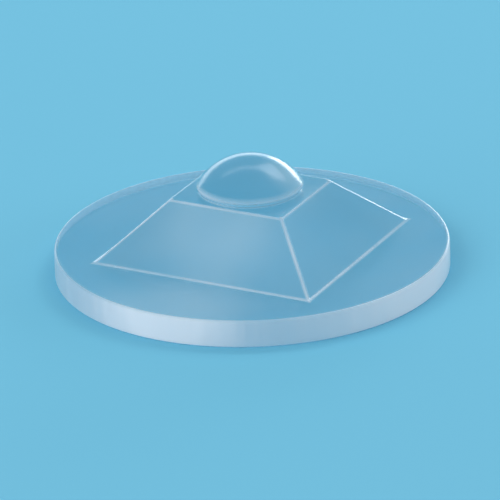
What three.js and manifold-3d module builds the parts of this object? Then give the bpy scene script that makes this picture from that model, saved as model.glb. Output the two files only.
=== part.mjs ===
// Cabinet door bumper, moulded in clear soft plastic as one solid: a round flat disc, a hipped
// rectangular mound in the middle of it, and a low dome on the mound that the door meets.
// Millimetres, +Z up. The origin is the centre of the flat underside, which is glued to the
// cabinet, and X runs along the mound's longer side.

import * as THREE from 'three';
import { mergeVertices } from 'three/addons/utils/BufferGeometryUtils.js';
import Module from 'manifold-3d';

// Disc
const discDiameter = 19.0;
const discThickness = 1.35;
const discTopEdgeRadius = 0.14;
const discBottomEdgeRadius = 0.1;

// Mound: its size where its sloping sides meet the disc, its height above the disc, and how far
// each side leans in over that height
const moundLength = 11.5;
const moundWidth = 10.7;
const moundHeight = 2.7;
const moundInset = 2.75;
const moundHipRadius = 0.22;
const moundFootFillet = 0.3;
const moundShoulderRadius = 0.2;

// Dome: it fills the mound's flat top up to a narrow ledge. It is a cap on a short foot, and
// the foot stands back a little under the cap's rounded lip
const domeLedge = 0.05;
const domeRise = 1.36;
const domeFootHeight = 0.33;
const domeFootSetback = 0.1;
const domeLipRadius = 0.12;
const domeFootFillet = 0.06;

// Clear plastic, as its colour reads over a pale ground
const plasticColour = 0xc4dbe8;
const plasticRoughness = 0.22;
const plasticOpacity = 0.45;

// How finely the round forms are divided, and how far one form is let into the one below it
const discSides = 144;
const domeSides = 96;
const domeSteps = 14;
const edgeSteps = 4;
const cornerSteps = 5;
const rootDepth = 0.4;

const wasm = await Module();
wasm.setup();

// Points along a circular arc in a profile's plane, angles in radians
function arc(centreX, centreY, radius, startAngle, endAngle, steps) {
  const clockwise = endAngle < startAngle;
  const curve = new THREE.EllipseCurve(
    centreX, centreY, radius, radius, startAngle, endAngle, clockwise);
  return curve.getPoints(steps);
}

// Revolves a profile of (radius, height) points, whose two ends lie on the axis, about Z
function revolve(profile, sides) {
  const geometry = new THREE.LatheGeometry(profile, sides);
  geometry.rotateX(Math.PI / 2);
  return geometry;
}

// A closed geometry as a solid that can be joined: shared vertices are merged, and the
// triangles that a pole or a seam closes up are left out
function toSolid(geometry) {
  const bare = geometry.clone();
  bare.deleteAttribute('normal');
  bare.deleteAttribute('uv');
  const merged = mergeVertices(bare, 1e-5);
  const index = merged.index.array;
  const triangles = [];
  for (let i = 0; i < index.length; i += 3) {
    const [a, b, c] = [index[i], index[i + 1], index[i + 2]];
    if (a !== b && b !== c && c !== a) {
      triangles.push(a, b, c);
    }
  }
  return new wasm.Manifold(new wasm.Mesh({
    numProp: 3,
    vertProperties: new Float32Array(merged.attributes.position.array),
    triVerts: new Uint32Array(triangles),
  }));
}

// A solid back as a geometry with flat facets
function toGeometry(solid) {
  const mesh = solid.getMesh();
  const geometry = new THREE.BufferGeometry();
  geometry.setAttribute('position', new THREE.BufferAttribute(mesh.vertProperties, 3));
  geometry.setIndex(new THREE.BufferAttribute(mesh.triVerts, 1));
  const faceted = geometry.toNonIndexed();
  faceted.computeVertexNormals();
  return faceted;
}

// The disc: a turned form with both of its edges rounded
function makeDisc() {
  const radius = discDiameter / 2;
  const roomForEdges = discThickness / 2;
  const bottomEdge = Math.min(discBottomEdgeRadius, roomForEdges);
  const topEdge = Math.min(discTopEdgeRadius, roomForEdges);
  const profile = [
    new THREE.Vector2(0, 0),
    ...arc(radius - bottomEdge, bottomEdge, bottomEdge, -Math.PI / 2, 0, edgeSteps),
    ...arc(radius - topEdge, discThickness - topEdge, topEdge, 0, Math.PI / 2, edgeSteps),
    new THREE.Vector2(0, discThickness),
  ];
  return revolve(profile, discSides);
}

// One level of the mound: a rectangle with rounded corners, wound anticlockwise from above
function moundOutline(inset) {
  const halfLength = moundLength / 2 - inset;
  const halfWidth = moundWidth / 2 - inset;
  const radius = Math.min(moundHipRadius, halfLength, halfWidth);
  const corners = [[1, -1], [1, 1], [-1, 1], [-1, -1]];
  return corners.flatMap(([sideX, sideY], corner) => {
    const startAngle = (corner - 1) * Math.PI / 2;
    const centreX = sideX * (halfLength - radius);
    const centreY = sideY * (halfWidth - radius);
    return arc(centreX, centreY, radius, startAngle, startAngle + Math.PI / 2, cornerSteps);
  });
}

// The mound's section as (inset, height above the disc) points: a hollow fillet that runs out
// on the disc, the straight slope, and a rounded shoulder that runs in to the flat top
function moundSection() {
  const slope = Math.atan2(moundHeight, moundInset);
  const halfTurn = Math.tan(slope / 2);
  const slopeLength = Math.hypot(moundHeight, moundInset);
  const footRun = Math.min(moundFootFillet * halfTurn, slopeLength / 3);
  const shoulderRun = Math.min(moundShoulderRadius * halfTurn, slopeLength / 3);
  const footRadius = footRun / halfTurn;
  const shoulderRadius = shoulderRun / halfTurn;
  return [
    ...arc(-footRun, footRadius, footRadius, -Math.PI / 2, slope - Math.PI / 2, edgeSteps),
    ...arc(
      moundInset + shoulderRun, moundHeight - shoulderRadius, shoulderRadius,
      slope + Math.PI / 2, Math.PI / 2, edgeSteps),
  ];
}

// The mound: its section carried round its outline, level by level, with a flat cap at each end
function makeMound() {
  const section = moundSection();
  const root = new THREE.Vector2(section[0].x, -Math.min(rootDepth, discThickness / 2));
  const rings = [root, ...section].map((level) => ({
    outline: moundOutline(level.x),
    height: discThickness + level.y,
  }));
  const count = rings[0].outline.length;
  const positions = rings.flatMap(
    ({ outline, height }) => outline.flatMap((point) => [point.x, point.y, height]));
  const index = [];
  for (let level = 0; level < rings.length - 1; level += 1) {
    for (let i = 0; i < count; i += 1) {
      const next = (i + 1) % count;
      const low = level * count;
      const high = low + count;
      index.push(low + i, low + next, high + next);
      index.push(low + i, high + next, high + i);
    }
  }
  const lastRing = (rings.length - 1) * count;
  for (const [a, b, c] of THREE.ShapeUtils.triangulateShape(rings[0].outline, [])) {
    index.push(a, c, b);
  }
  for (const [a, b, c] of THREE.ShapeUtils.triangulateShape(rings.at(-1).outline, [])) {
    index.push(lastRing + a, lastRing + b, lastRing + c);
  }
  const geometry = new THREE.BufferGeometry();
  geometry.setAttribute('position', new THREE.Float32BufferAttribute(positions, 3));
  geometry.setIndex(index);
  return geometry;
}

// The dome: a turned cap, a rounded lip, a short foot and a small fillet on the mound's top
function makeDome() {
  const base = discThickness + moundHeight;
  const radius = Math.min(moundLength, moundWidth) / 2 - moundInset - domeLedge;
  const sphereRadius = (radius ** 2 + domeRise ** 2) / (2 * domeRise);
  const sphereCentre = base + domeFootHeight + domeRise - sphereRadius;
  const rimAngle = Math.asin(Math.min(1, (sphereRadius - domeRise) / sphereRadius));
  const footRadius = radius - domeFootSetback;
  const fillet = Math.min(domeFootFillet, domeFootHeight / 3);
  const lip = Math.min(domeLipRadius, domeFootHeight / 3, radius / 3);
  // The lip's circle touches the cap from inside, so its centre lies on the line from the
  // sphere's centre to the rim
  const lipCentreX = (sphereRadius - lip) * Math.cos(rimAngle);
  const lipCentreY = sphereCentre + (sphereRadius - lip) * Math.sin(rimAngle);
  const root = base - Math.min(rootDepth, moundHeight / 2);
  const profile = [
    new THREE.Vector2(0, root),
    new THREE.Vector2(footRadius + fillet, root),
    ...arc(footRadius + fillet, base + fillet, fillet, -Math.PI / 2, -Math.PI, edgeSteps),
    ...arc(lipCentreX, lipCentreY, lip, -Math.PI / 3, rimAngle, edgeSteps),
    ...arc(0, sphereCentre, sphereRadius, rimAngle, Math.PI / 2, domeSteps).slice(1),
  ];
  profile.at(-1).x = 0;
  return revolve(profile, domeSides);
}

const plastic = new THREE.MeshStandardMaterial({
  color: plasticColour,
  roughness: plasticRoughness,
  metalness: 0,
  transparent: true,
  opacity: plasticOpacity,
});

const bumperSolid = toSolid(makeDisc()).add(toSolid(makeMound())).add(toSolid(makeDome()));
const bumper = new THREE.Mesh(toGeometry(bumperSolid), plastic);
bumper.name = 'bumper';

const cabinetDoorBumper = new THREE.Group();
cabinetDoorBumper.add(bumper);

export default cabinetDoorBumper;
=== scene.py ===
import math

import bmesh
import bpy
from mathutils import Matrix, Vector


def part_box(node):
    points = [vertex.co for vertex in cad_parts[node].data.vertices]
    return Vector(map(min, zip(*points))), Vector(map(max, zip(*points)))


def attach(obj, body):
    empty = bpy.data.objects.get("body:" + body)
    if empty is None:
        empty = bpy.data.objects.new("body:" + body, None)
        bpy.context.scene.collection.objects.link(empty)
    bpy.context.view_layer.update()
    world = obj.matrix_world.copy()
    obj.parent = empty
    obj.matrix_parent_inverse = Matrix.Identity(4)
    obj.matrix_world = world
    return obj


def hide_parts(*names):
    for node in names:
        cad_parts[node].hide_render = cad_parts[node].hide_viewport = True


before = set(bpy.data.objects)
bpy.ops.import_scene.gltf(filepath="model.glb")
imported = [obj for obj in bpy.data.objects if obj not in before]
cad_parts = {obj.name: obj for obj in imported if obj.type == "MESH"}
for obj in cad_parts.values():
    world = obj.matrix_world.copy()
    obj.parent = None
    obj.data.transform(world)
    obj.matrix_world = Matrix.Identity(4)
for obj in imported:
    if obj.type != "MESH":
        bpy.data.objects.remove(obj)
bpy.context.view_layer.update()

# The bumper
# One moulding in clear soft plastic: a round disc, a hipped rectangular mound and a low dome. It is
# injected through the disc's rim, leaves the mould with small round edges, and is glued down by
# its flat underside. It is modelled in millimetres.

millimetre = 0.001
low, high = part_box("bumper")
disc_radius = (high.x - low.x) / 2 / millimetre
overall_height = high.z / millimetre
disc_thickness = 1.35
disc_bottom_edge = 0.10
disc_top_edge = 0.14
disc_sides = 384

mound_half_length = 5.75
mound_half_width = 5.35
mound_height = 2.7
mound_inset = 2.75
mound_hip_radius = 0.22
mound_foot_fillet = 0.3
mound_shoulder = 0.2
mound_corner_sides = 12

dome_ledge = 0.05
dome_foot_height = 0.33
dome_foot_setback = 0.1
dome_foot_fillet = 0.06
dome_lip = 0.11
dome_lip_undercut = math.pi / 3
dome_sides = 192
dome_rings = 36

edge_rings = 8
weld_distance = 1e-5
flat_tolerance = 1e-4

# Painted highlights on the mould's round edges, where they catch the light: how strong each is,
# from 0 to 1, and how far it fades out beside them. Painted shade on the rim: how much clearer,
# and so darker, it is low down at the back
top_edge_highlight = 0.25
top_edge_fade = 0.06
foot_highlight = 0.5
shoulder_highlight = 0.6
slope_fade = 0.08
hip_highlight = 0.75
toe_highlight = 0.6
lip_highlight = 0.6
lip_highlight_rings = 3
back_rim_shade = 0.75

moulding = bmesh.new()
# The painted highlights on the edges are kept in a layer of their own
edge_highlight_layer = moulding.verts.layers.float.new("painted_edge_highlight")
frost_layer = moulding.verts.layers.float.new("rim_frost")
satin_layer = moulding.verts.layers.float.new("side_satin")
hip_layer = moulding.verts.layers.float.new("hip")


def arc_points(centre, radius, start, end, steps):
    """Points (across, up) along an arc in a section, from one angle to another."""
    turns = [start + (end - start) * i / steps for i in range(steps + 1)]
    return [(centre[0] + radius * math.cos(t), centre[1] + radius * math.sin(t)) for t in turns]


def pull_loop(loop, lift):
    """Extrudes a closed loop of edges by a height and returns its new vertices and edges."""
    grown = bmesh.ops.extrude_edge_only(moulding, edges=loop)["geom"]
    verts = [g for g in grown if isinstance(g, bmesh.types.BMVert)]
    among = set(verts)
    edges = [g for g in grown if isinstance(g, bmesh.types.BMEdge) and set(g.verts) <= among]
    bmesh.ops.translate(moulding, vec=(0, 0, lift), verts=verts)
    return verts, edges


def turn_section(loop, section, radius, height):
    """Carries a round loop along a section of (radius, height, painted highlight, frost) steps."""
    for new_radius, new_height, highlight, frost in section:
        verts, loop = pull_loop(loop, new_height - height)
        share = new_radius / radius
        bmesh.ops.scale(moulding, vec=(share, share, 1), verts=verts)
        for vert in verts:
            vert[edge_highlight_layer] = highlight
            vert[frost_layer] = frost
        radius, height = new_radius, new_height
    return loop


# The disc: its underside, its bottom edge, its wall, its top edge and the band beside that. The
# frost comes in round the bottom edge and goes out round the top edge
underside_radius = disc_radius - disc_bottom_edge
bmesh.ops.create_circle(moulding, cap_ends=True, segments=disc_sides, radius=underside_radius)
bottom_arc = arc_points(
    (underside_radius, disc_bottom_edge), disc_bottom_edge, -math.pi / 2, 0, edge_rings)
top_arc = arc_points(
    (disc_radius - disc_top_edge, disc_thickness - disc_top_edge), disc_top_edge,
    0, math.pi / 2, edge_rings)
# The top edge carries a painted highlight
disc_section = [
    (across, up, 0, min(1, 2 * i / edge_rings)) for i, (across, up) in enumerate(bottom_arc)]
disc_section += [
    (across, up, top_edge_highlight, 1 - i / edge_rings) for i, (across, up) in enumerate(top_arc)]
disc_section += [(disc_radius - disc_top_edge - top_edge_fade, disc_thickness, 0, 0)]
disc_top_loop = turn_section(moulding.edges[:], disc_section[1:], underside_radius, 0)
# Painted shade: low down at the back the rim's frost thins, so the back of the rim shows darker
for vert in moulding.verts:
    if vert.co.z < disc_thickness / 2:
        towards_back = max(0, vert.co.y / disc_radius)
        vert[frost_layer] *= 1 - back_rim_shade * towards_back

# The mound's section, as (inset, height above the disc, painted highlight, satin) steps: a band of
# the disc's top, the hollow foot, the straight slope with a fade at each end, and the rounded
# shoulder
slope = math.atan2(mound_height, mound_inset)
foot_run = mound_foot_fillet * math.tan(slope / 2)
shoulder_run = mound_shoulder * math.tan(slope / 2)
foot_arc = arc_points(
    (-foot_run, mound_foot_fillet), mound_foot_fillet,
    -math.pi / 2, slope - math.pi / 2, edge_rings)
shoulder_arc = arc_points(
    (mound_inset + shoulder_run, mound_height - mound_shoulder), mound_shoulder,
    slope + math.pi / 2, math.pi / 2, edge_rings)
fade_across, fade_up = slope_fade * math.cos(slope), slope_fade * math.sin(slope)
mound_section = [(foot_arc[0][0] - slope_fade, 0, 0, 0)]
mound_section += [
    (across, up, foot_highlight * (1 - (2 * i / edge_rings - 1) ** 4), i / edge_rings)
    for i, (across, up) in enumerate(foot_arc)]
mound_section += [
    (foot_arc[-1][0] + fade_across, foot_arc[-1][1] + fade_up, 0, 1),
    (shoulder_arc[0][0] - fade_across, shoulder_arc[0][1] - fade_up, 0, 1)]
mound_section += [
    (across, up, shoulder_highlight * (1 - (i / edge_rings) ** 2), 1 - i / edge_rings)
    for i, (across, up) in enumerate(shoulder_arc)]

# The mound: a small circle, turned by half a side so that no vertex lies on an axis, whose
# quarters are moved apart into a rounded rectangle. It is carried up the section by moving the
# quarters in together, which keeps the hips' radius. A hip's painted highlight is strongest on
# its middle line
mound_sides = 4 * mound_corner_sides
half_side = math.pi / mound_sides
on_disc = Matrix.Translation((0, 0, disc_thickness)) @ Matrix.Rotation(half_side, 4, "Z")
mound_ring = bmesh.ops.create_circle(
    moulding, segments=mound_sides, radius=mound_hip_radius, matrix=on_disc)["verts"]
for vert in mound_ring:
    around = math.atan2(abs(vert.co.y), abs(vert.co.x))
    across_hip = (around - half_side) / (math.pi / 2 - 2 * half_side)
    vert[hip_layer] = hip_highlight * math.sin(math.pi * across_hip) ** 2


def spread_quarters(verts, out_x, out_y):
    """Moves the four quarters of a loop away from both axes, or towards them if negative."""
    for side_x in (-1, 1):
        for side_y in (-1, 1):
            quarter = [v for v in verts if v.co.x * side_x > 0 and v.co.y * side_y > 0]
            bmesh.ops.translate(
                moulding, vec=(side_x * out_x, side_y * out_y, 0), verts=quarter)


spread_quarters(
    mound_ring,
    mound_half_length - mound_section[0][0] - mound_hip_radius,
    mound_half_width - mound_section[0][0] - mound_hip_radius)
mound_loop = [e for e in moulding.edges if e.verts[0] in mound_ring and e.verts[1] in mound_ring]
bmesh.ops.triangle_fill(
    moulding, use_beauty=True, edges=disc_top_loop + mound_loop, normal=(0, 0, 1))
across, up = mound_section[0][:2]
# Each ring takes the section's painted highlight, or the hip's where that is stronger
for new_across, new_up, highlight, satin in mound_section[1:]:
    ring, mound_loop = pull_loop(mound_loop, new_up - up)
    spread_quarters(ring, across - new_across, across - new_across)
    for vert in ring:
        vert[edge_highlight_layer] = max(highlight, vert[hip_layer])
        vert[satin_layer] = satin
    across, up = new_across, new_up
for vert in ring:
    vert[edge_highlight_layer] = 0

# The dome: a fillet, a short foot that stands back, a rounded lip and a round cap up to the pole.
# The lip's circle touches the cap from inside
dome_radius = mound_half_width - mound_inset - dome_ledge
dome_base = disc_thickness + mound_height
dome_rise = overall_height - dome_base - dome_foot_height
sphere_radius = (dome_radius ** 2 + dome_rise ** 2) / (2 * dome_rise)
sphere_centre = overall_height - sphere_radius
lip_angle = math.asin((sphere_radius - dome_rise) / sphere_radius)
toe_radius = dome_radius - dome_foot_setback + dome_foot_fillet
lip_centre = (
    (sphere_radius - dome_lip) * math.cos(lip_angle),
    sphere_centre + (sphere_radius - dome_lip) * math.sin(lip_angle))
toe_arc = arc_points(
    (toe_radius, dome_base + dome_foot_fillet), dome_foot_fillet,
    -math.pi / 2, -math.pi, edge_rings)
lip_arc = arc_points(lip_centre, dome_lip, -dome_lip_undercut, lip_angle, edge_rings)
cap_arc = arc_points((0, sphere_centre), sphere_radius, lip_angle, math.pi / 2, dome_rings)
# The toe, the lip and the edge of the cap carry painted highlights
dome_section = [
    (across, up, toe_highlight * i / edge_rings, 0) for i, (across, up) in enumerate(toe_arc)]
dome_section += [
    (across, up, max(toe_highlight, lip_highlight * i / edge_rings), 0)
    for i, (across, up) in enumerate(lip_arc)]
dome_section += [
    (max(across, 0), up, lip_highlight * max(0, 1 - i / lip_highlight_rings), 0)
    for i, (across, up) in enumerate(cap_arc) if i]
on_mound = Matrix.Translation((0, 0, dome_base))
dome_ring = bmesh.ops.create_circle(
    moulding, segments=dome_sides, radius=toe_radius, matrix=on_mound)["verts"]
dome_loop = [e for e in moulding.edges if e.verts[0] in dome_ring and e.verts[1] in dome_ring]
bmesh.ops.triangle_fill(
    moulding, use_beauty=True, edges=mound_loop + dome_loop, normal=(0, 0, 1))
turn_section(dome_loop, dome_section[1:], toe_radius, dome_base)

bmesh.ops.remove_doubles(moulding, verts=moulding.verts, dist=weld_distance)
bmesh.ops.recalc_face_normals(moulding, faces=moulding.faces)
for face in moulding.faces:
    level = abs(face.normal.z) > 1 - flat_tolerance
    sloping = abs(face.normal.z - math.cos(slope)) < flat_tolerance
    square_on = min(abs(face.normal.x), abs(face.normal.y)) < flat_tolerance
    face.smooth = not (level or (sloping and square_on))
    frosted = any(vert[frost_layer] > 0 for vert in face.verts)
    face.material_index = 1 if frosted else 0
bmesh.ops.scale(moulding, vec=(millimetre, millimetre, millimetre), verts=moulding.verts)

bumper_mesh = bpy.data.meshes.new("clear_bumper")
moulding.to_mesh(bumper_mesh)
moulding.free()
clear_bumper = bpy.data.objects.new("clear_bumper", bumper_mesh)
bpy.context.scene.collection.objects.link(clear_bumper)

# The finish: the colours, how rough each is, the frost at which the rim is as rough as it gets,
# and the share of light that comes through the rim from behind
plastic_ior = 1.49
clear_tint = (0.86, 0.96, 1, 1)
frosted_tint = (0.985, 0.965, 1.0, 1)
clear_roughness = 0.2
frosted_roughness = 0.28
rough_from_frost = 0.2
light_through_rim = 0.2

# The patterns, each a noise (scale per metre, detail), and the range that noise mostly keeps to
noise_range = (0.3, 0.7)
cloud_noise = (170, 3)
patch_noise = (420, 2)
patch_strength = (0.55, 1.1)
drag_noise = (5200, 2)
drag_upright_scale = 0.03
wave_noise = (900, 1)
wave_height = 0.004 * millimetre

# Painted light, as milkier patches: a glow on the disc's top at the front, glows on the rim at the
# front and on its right side, light on the mound's front and a highlight on the right of the dome.
# Each has its centre, and the distances from there at which it is still full and has faded out
rim_front = (0, -disc_radius, disc_thickness)
front_painted_glow = (rim_front, 1.5, 5.5)
rim_front_painted_glow = (rim_front, 0.8, 5.5)
rim_right_painted_glow = ((disc_radius, 0, disc_thickness), 1.5, 8.5)
mound_front_painted_glow = ((-0.2, -3.0, disc_thickness + 0.9 * mound_height), 1.2, 4.8)
dome_painted_highlight = ((2.1, 0.5, overall_height - 0.8), 0.2, 1.9)

# Milk, the share of the light that is scattered: from where the clouds are thin to where they are
# thick, from outside to inside the painted light on the mound's front, and what each other cause
# adds or leads to. The glows and the highlights among them are painted light
cloud_milk = (0.01, 0.08)
side_satin_and_glow_milk = (0.04, 0.17)
dome_highlight_milk = 0.18
front_glow_milk = 0.16
most_clear_milk = 0.235
highlight_milk = 0.6
rim_cloud_milk = (0.4, 0.58)
rim_front_glow_milk = 0.6
rim_right_glow_milk = 0.5
drag_milk = (-0.07, 0.07)


def clear_plastic(name):
    """Clear soft satin plastic, faintly milky, frosted on the rim, with painted highlights and
    glows.
    """
    material = bpy.data.materials.new(name)
    material.use_nodes = True
    nodes, links = material.node_tree.nodes, material.node_tree.links
    shader = nodes["Principled BSDF"]
    shader.inputs["IOR"].default_value = plastic_ior
    place = nodes.new("ShaderNodeTexCoord").outputs["Object"]

    def feed(socket, value):
        if isinstance(value, bpy.types.NodeSocket):
            links.new(value, socket)
        else:
            socket.default_value = value

    def marked(layer):
        node = nodes.new("ShaderNodeAttribute")
        node.attribute_name = layer
        return node.outputs["Fac"]

    def noise(vector, scale, detail):
        node = nodes.new("ShaderNodeTexNoise")
        node.inputs["Scale"].default_value = scale
        node.inputs["Detail"].default_value = detail
        links.new(vector, node.inputs["Vector"])
        return node.outputs["Fac"]

    def graded(value, given, wanted, kind="LINEAR"):
        node = nodes.new("ShaderNodeMapRange")
        node.interpolation_type = kind
        links.new(value, node.inputs["Value"])
        node.inputs["From Min"].default_value = given[0]
        node.inputs["From Max"].default_value = given[1]
        node.inputs["To Min"].default_value = wanted[0]
        node.inputs["To Max"].default_value = wanted[1]
        return node.outputs["Result"]

    def near(centre, core, reach):
        span = nodes.new("ShaderNodeVectorMath")
        span.operation = "DISTANCE"
        links.new(place, span.inputs[0])
        span.inputs[1].default_value = millimetre * Vector(centre)
        fade = (millimetre * core, millimetre * reach)
        return graded(span.outputs["Value"], fade, (1, 0), "SMOOTHSTEP")

    def reckon(operation, a, b):
        node = nodes.new("ShaderNodeMath")
        node.operation = operation
        feed(node.inputs[0], a)
        feed(node.inputs[1], b)
        return node.outputs[0]

    def with_more(milk, share, amount):
        return reckon("ADD", milk, reckon("MULTIPLY", share, amount))

    def between(share, a, b):
        node = nodes.new("ShaderNodeMix")
        feed(node.inputs["Factor"], share)
        feed(node.inputs["A"], a)
        feed(node.inputs["B"], b)
        return node.outputs["Result"]

    # What the mesh marks: the painted highlights along the edges, made patchy, the rim's frost, and
    # the satin of the mound's sides
    patches = graded(noise(place, *patch_noise), noise_range, patch_strength)
    highlight = reckon("MULTIPLY", marked("painted_edge_highlight"), patches)
    frost = marked("rim_frost")
    satin = marked("side_satin")

    # Milky clouds some 6 mm across, and upright drag lines on the rim, a fifth of a millimetre
    # apart
    cloud = noise(place, *cloud_noise)
    upright = nodes.new("ShaderNodeMapping")
    upright.inputs["Scale"].default_value = (1, 1, drag_upright_scale)
    links.new(place, upright.inputs["Vector"])
    drag = noise(upright.outputs["Vector"], *drag_noise)

    # Milk in the clear plastic with its painted light, then the painted edge highlights, then on
    # the rim with its painted light
    milk = graded(cloud, noise_range, cloud_milk)
    # Painted light on the mound's front, on its sloping sides only
    milk = with_more(milk, satin, graded(near(*mound_front_painted_glow), (0, 1), side_satin_and_glow_milk))
    # A painted highlight on the right of the dome
    milk = with_more(milk, near(*dome_painted_highlight), dome_highlight_milk)
    # A painted glow on the disc's top at the front
    milk = with_more(milk, near(*front_painted_glow), front_glow_milk)
    milk = reckon("MINIMUM", milk, most_clear_milk)
    # Painted highlights along the edges
    milk = between(highlight, milk, highlight_milk)
    rim_milk = graded(cloud, noise_range, rim_cloud_milk)
    # Painted glows on the rim, at the front and on the right side
    rim_milk = with_more(rim_milk, near(*rim_front_painted_glow), rim_front_glow_milk)
    rim_milk = with_more(rim_milk, near(*rim_right_painted_glow), rim_right_glow_milk)
    rim_milk = reckon("MINIMUM", rim_milk, 1)
    rim_milk = reckon("ADD", rim_milk, graded(drag, noise_range, drag_milk))
    milk = between(frost, milk, rim_milk)

    # What a smooth surface reflects, from outside or from inside, isn't scattered. The frosted
    # rim scatters all of its share
    mirror = nodes.new("ShaderNodeFresnel")
    mirror.inputs["IOR"].default_value = plastic_ior
    mirrored = reckon("MULTIPLY", mirror.outputs["Fac"], reckon("SUBTRACT", 1, frost))
    milk = reckon("MULTIPLY", milk, reckon("SUBTRACT", 1, mirrored))
    links.new(reckon("SUBTRACT", 1, milk), shader.inputs["Transmission Weight"])

    tint = nodes.new("ShaderNodeMix")
    tint.data_type = "RGBA"
    tint.inputs["A"].default_value = clear_tint
    tint.inputs["B"].default_value = frosted_tint
    # The painted edge highlights take the frosted tint too
    links.new(reckon("MAXIMUM", frost, highlight), tint.inputs["Factor"])
    links.new(tint.outputs["Result"], shader.inputs["Base Color"])
    roughness = graded(frost, (0, rough_from_frost), (clear_roughness, frosted_roughness))
    links.new(roughness, shader.inputs["Roughness"])

    # The mould's faint waviness, a millimetre from crest to crest
    wave = nodes.new("ShaderNodeBump")
    wave.inputs["Distance"].default_value = wave_height
    links.new(noise(place, *wave_noise), wave.inputs["Height"])
    links.new(wave.outputs["Normal"], shader.inputs["Normal"])
    return material


def scaled(tree, value, factor):
    """A socket's value times a constant."""
    node = tree.nodes.new("ShaderNodeMath")
    node.operation = "MULTIPLY"
    node.inputs[1].default_value = factor
    tree.links.new(value, node.inputs[0])
    return node.outputs[0]


def show_mix(tree, share, first, second, output="Material Output"):
    """Shows a mix of two shaders: all of the first at share 0, all of the second at 1."""
    blend = tree.nodes.new("ShaderNodeMixShader")
    tree.links.new(share, blend.inputs["Fac"])
    tree.links.new(first, blend.inputs[1])
    tree.links.new(second, blend.inputs[2])
    tree.links.new(blend.outputs["Shader"], tree.nodes[output].inputs["Surface"])


def frosted_rim():
    """The same plastic where the mould was left matt, so that light also comes through it."""
    material = clear_plastic("frosted_rim")
    tree = material.node_tree
    behind = tree.nodes.new("ShaderNodeBsdfTranslucent")
    behind.inputs["Color"].default_value = frosted_tint
    frost = tree.nodes.new("ShaderNodeAttribute")
    frost.attribute_name = "rim_frost"
    share = scaled(tree, frost.outputs["Fac"], light_through_rim)
    plastic = tree.nodes["Principled BSDF"]
    show_mix(tree, share, plastic.outputs["BSDF"], behind.outputs["BSDF"])
    return material


clear_bumper.data.materials.append(clear_plastic("clear_plastic"))
clear_bumper.data.materials.append(frosted_rim())
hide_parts("bumper")
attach(clear_bumper, "root")

# The floor
# A plain pale blue sheet, far wider than the view. The soft plastic clings to it with no film of
# air between, so the sheet lies a hair above the bumper's underside.

floor_half = 0.6
floor_lift = 0.02 * millimetre
floor_colour = (0.17, 0.53, 0.73, 1)
floor_roughness = 0.9
floor_gloss = 0.1
glow_share = 0.4

floor_shape = bmesh.new()
bmesh.ops.create_grid(
    floor_shape, x_segments=1, y_segments=1, size=floor_half,
    matrix=Matrix.Translation((0, 0, floor_lift)))
floor_mesh = bpy.data.meshes.new("floor")
floor_shape.to_mesh(floor_mesh)
floor_shape.free()
floor = bpy.data.objects.new("floor", floor_mesh)
bpy.context.scene.collection.objects.link(floor)


def either_ray(tree, first, *others):
    """1 for a ray of any of the named kinds, and 0 for the rest."""
    path = tree.nodes.new("ShaderNodeLightPath")
    found = path.outputs[first]
    for kind in others:
        node = tree.nodes.new("ShaderNodeMath")
        node.operation = "MAXIMUM"
        tree.links.new(found, node.inputs[0])
        tree.links.new(path.outputs[kind], node.inputs[1])
        found = node.outputs[0]
    return found


def pale_blue_sheet():
    """Matt paper. Seen through the plastic it keeps part of its colour as a plain glow."""
    material = bpy.data.materials.new("pale_blue_sheet")
    material.use_nodes = True
    tree = material.node_tree
    paper = tree.nodes["Principled BSDF"]
    paper.inputs["Base Color"].default_value = floor_colour
    paper.inputs["Roughness"].default_value = floor_roughness
    paper.inputs["Specular IOR Level"].default_value = floor_gloss
    glow = tree.nodes.new("ShaderNodeEmission")
    glow.inputs["Color"].default_value = floor_colour
    share = scaled(tree, either_ray(tree, "Is Glossy Ray", "Is Transmission Ray"), glow_share)
    show_mix(tree, share, paper.outputs["BSDF"], glow.outputs["Emission"])
    return material


floor.data.materials.append(pale_blue_sheet())

# The light
# An even pale sky, with the sheet's blue behind it for the camera, gloss and glass. Behind the
# bumper, two low panels, a high one and a strip edge the dome and the hips, and two soft fills
# light its rim and sides from the front left and the right.

sky_colour = (0.95, 0.97, 1.0, 1)
sky_strength = 0.47
backdrop_colour = (0.22, 0.55, 0.75, 1)

world = bpy.data.worlds.new("pale_sky")
bpy.context.scene.world = world
world.use_nodes = True
sky = world.node_tree.nodes["Background"]
sky.inputs["Color"].default_value = sky_colour
sky.inputs["Strength"].default_value = sky_strength
backdrop = world.node_tree.nodes.new("ShaderNodeBackground")
backdrop.inputs["Color"].default_value = backdrop_colour
show_mix(
    world.node_tree,
    either_ray(world.node_tree, "Is Camera Ray", "Is Glossy Ray", "Is Transmission Ray"),
    sky.outputs["Background"], backdrop.outputs["Background"], output="World Output")


def direction(azimuth, elevation):
    """A unit vector away from the bumper: degrees from the front to the right, and upwards."""
    a, e = math.radians(azimuth), math.radians(elevation)
    return Vector((math.sin(a) * math.cos(e), -math.cos(a) * math.cos(e), math.sin(e)))


def soft_panel(name, azimuth, elevation, distance, width, height, brightness, in_gloss=True):
    """A lamp panel that faces the bumper. At brightness 1 its mirror image is plain white."""
    away = direction(azimuth, elevation)
    lamp = bpy.data.lights.new(name, "AREA")
    lamp.shape = "RECTANGLE"
    lamp.size = width
    lamp.size_y = height
    lamp.energy = math.pi * width * height * brightness
    panel = bpy.data.objects.new(name, lamp)
    panel.location = away * distance
    panel.rotation_mode = "QUATERNION"
    panel.rotation_quaternion = away.to_track_quat("Z", "Y")
    panel.visible_camera = False
    panel.visible_transmission = False
    panel.visible_glossy = in_gloss
    bpy.context.scene.collection.objects.link(panel)


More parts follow.
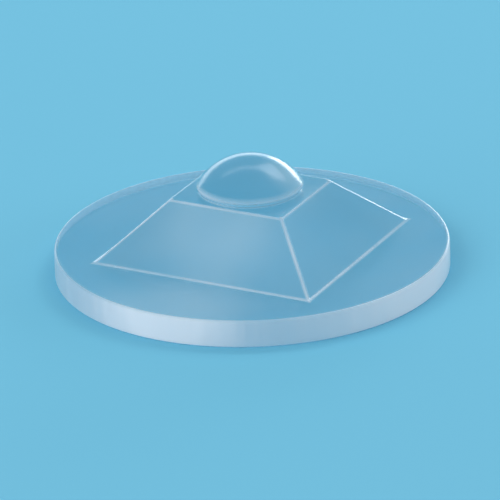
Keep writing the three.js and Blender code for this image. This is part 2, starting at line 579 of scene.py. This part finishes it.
soft_panel(
    "high_back_panel", azimuth=166, elevation=48, distance=0.30,
    width=0.17, height=0.13, brightness=2.0)
soft_panel(
    "overhead_strip", azimuth=205, elevation=60, distance=0.40,
    width=0.56, height=0.06, brightness=1.8)
soft_panel(
    "low_back_panel", azimuth=184, elevation=8, distance=0.30,
    width=0.14, height=0.07, brightness=3.9)
soft_panel(
    "wide_back_panel", azimuth=208, elevation=8, distance=0.50,
    width=0.80, height=0.14, brightness=1.8)
soft_panel(
    "front_left_panel", azimuth=-30, elevation=32, distance=0.50,
    width=0.50, height=0.50, brightness=2.0, in_gloss=False)
soft_panel(
    "right_panel", azimuth=115, elevation=12, distance=0.50,
    width=0.40, height=0.20, brightness=2.3, in_gloss=False)

# The camera
# A long lens at the photograph's angle, from the front on the right, rolled a little. The disc's
# radius and the origin are where they are in the photograph, in pixels.

photo_side = 500
radius_pixels = 197.65
origin_pixel = (252.7, 266.9)
view_azimuth = 27.9
view_elevation = 23.2
view_roll = math.radians(1.95)
disc_reach = high.x
view_distance = 30 * disc_reach
sensor_width = 36
nearest_seen = 0.01
farthest_seen = 5

camera_back = direction(view_azimuth, view_elevation)
level_right = direction(view_azimuth + 90, 0)
level_up = camera_back.cross(level_right)
camera_right = level_right * math.cos(view_roll) - level_up * math.sin(view_roll)
camera_up = level_right * math.sin(view_roll) + level_up * math.cos(view_roll)
metres_per_pixel = disc_reach / radius_pixels
middle_right = (photo_side / 2 - origin_pixel[0]) * metres_per_pixel
middle_up = (origin_pixel[1] - photo_side / 2) * metres_per_pixel

lens = bpy.data.cameras.new("camera")
lens.sensor_width = sensor_width
lens.lens = sensor_width * radius_pixels * (view_distance / disc_reach) / photo_side
lens.clip_start = nearest_seen
lens.clip_end = farthest_seen
camera = bpy.data.objects.new("camera", lens)
camera.rotation_mode = "QUATERNION"
camera_axes = Matrix((camera_right, camera_up, camera_back)).transposed()
camera.rotation_quaternion = camera_axes.to_quaternion()
camera.location = (
    camera_right * middle_right + camera_up * middle_up + camera_back * view_distance)
bpy.context.scene.collection.objects.link(camera)
bpy.context.scene.camera = camera

bpy.context.scene.view_settings.view_transform = "Standard"
